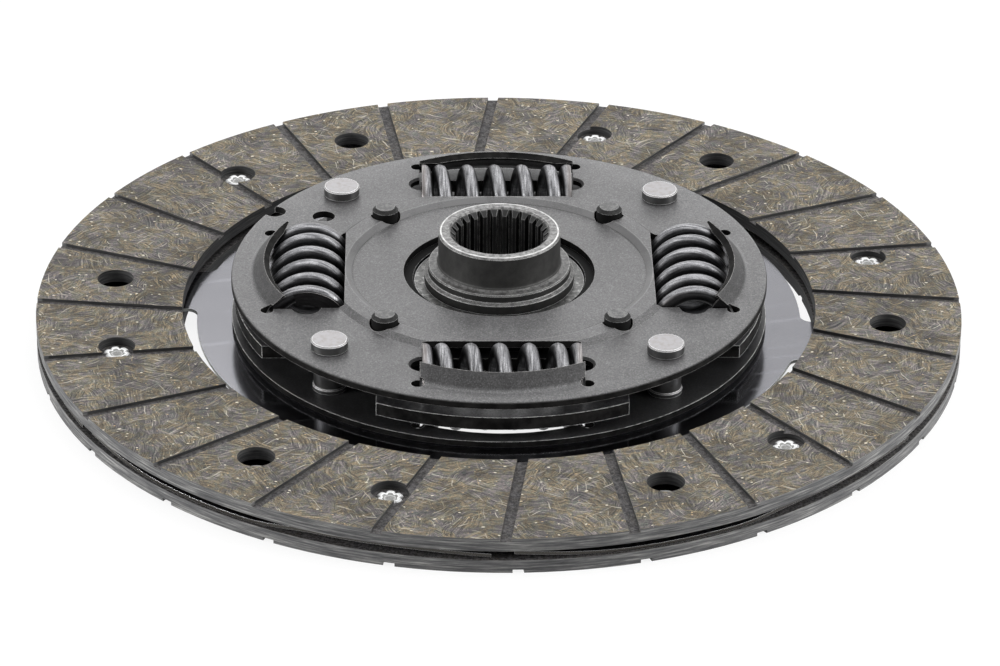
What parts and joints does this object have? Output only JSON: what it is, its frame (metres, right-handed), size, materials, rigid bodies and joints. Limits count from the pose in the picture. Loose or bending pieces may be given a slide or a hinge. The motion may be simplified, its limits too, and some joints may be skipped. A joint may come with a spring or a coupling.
{
  "type": "clutch disc",
  "caption": "Dry clutch disc with grooved friction facings on a cushioned driven plate and a splined hub carried in a coil-spring torsion damper.",
  "frame": {"origin": "on the disc axis in the plane of the lower friction face, which is what the disc rests on", "axes": "+Z along the disc axis towards the long end of the hub; +X within 1.1 degrees of the middle of torsion spring 1 and +Y the same from torsion spring 2, which the windows are turned past"},
  "size_m": [0.24, 0.24, 0.0301],
  "materials": {
    "hub_steel": "turned steel with a dark satin oxide, bright at the machined rim",
    "flange_steel": "dark phosphated stamping with bright sheared edges",
    "collar_steel": "plain turned steel",
    "retainer_steel": "dark satin phosphate",
    "driven_steel": "smooth glossy spring steel sheet",
    "friction_facing": "woven fibre friction composite, ground face, matt",
    "zinc_rivet": "zinc plated",
    "dark_rivet": "dark plated",
    "spring_steel": "shot-peened dark spring steel",
    "pin_steel": "turned steel, bright head",
    "black_plastic": "glass-filled black plastic",
    "disc_spring_steel": "blue-grey spring steel"
  },
  "bodies": {
    "disc": {"upper_retainer_plate": "retainer_steel", "lower_retainer_plate": "retainer_steel", "driven_plate": "driven_steel", "upper_facing": "friction_facing", "lower_facing": "friction_facing", "upper_facing_rivets": "zinc_rivet", "lower_facing_rivets": "dark_rivet", "stop_pin_1": "pin_steel", "stop_pin_2": "pin_steel", "stop_pin_3": "pin_steel", "stop_pin_4": "pin_steel", "friction_ring": "black_plastic", "upper_disc_spring": "disc_spring_steel", "lower_disc_spring": "disc_spring_steel", "lower_friction_washer": "black_plastic", "centring_bush": "black_plastic"},
    "hub": {"hub": "hub_steel", "hub_flange": "flange_steel", "retaining_collar": "collar_steel"},
    "springs": {"torsion_spring_1": "spring_steel", "torsion_spring_2": "spring_steel", "torsion_spring_3": "spring_steel", "torsion_spring_4": "spring_steel"}
  },
  "joints": [
    {"name": "hub_turn", "type": "hinge", "parent": "disc", "child": "hub", "pos_m": [0, 0, 0.01172], "axis": [0, 0, 1], "range_deg": [-9.1, 6.3], "stiffness_Nm_per_rad": 100},
    {"name": "spring_shift", "type": "hinge", "parent": "disc", "child": "springs", "pos_m": [0, 0, 0.01172], "axis": [0, 0, 1], "range_deg": [-4.55, 3.15], "deforming": ["torsion_spring_1", "torsion_spring_2", "torsion_spring_3", "torsion_spring_4"]}
  ],
  "couplings": [
    {"joint": "spring_shift", "follows": "hub_turn", "ratio": 0.5}
  ]
}
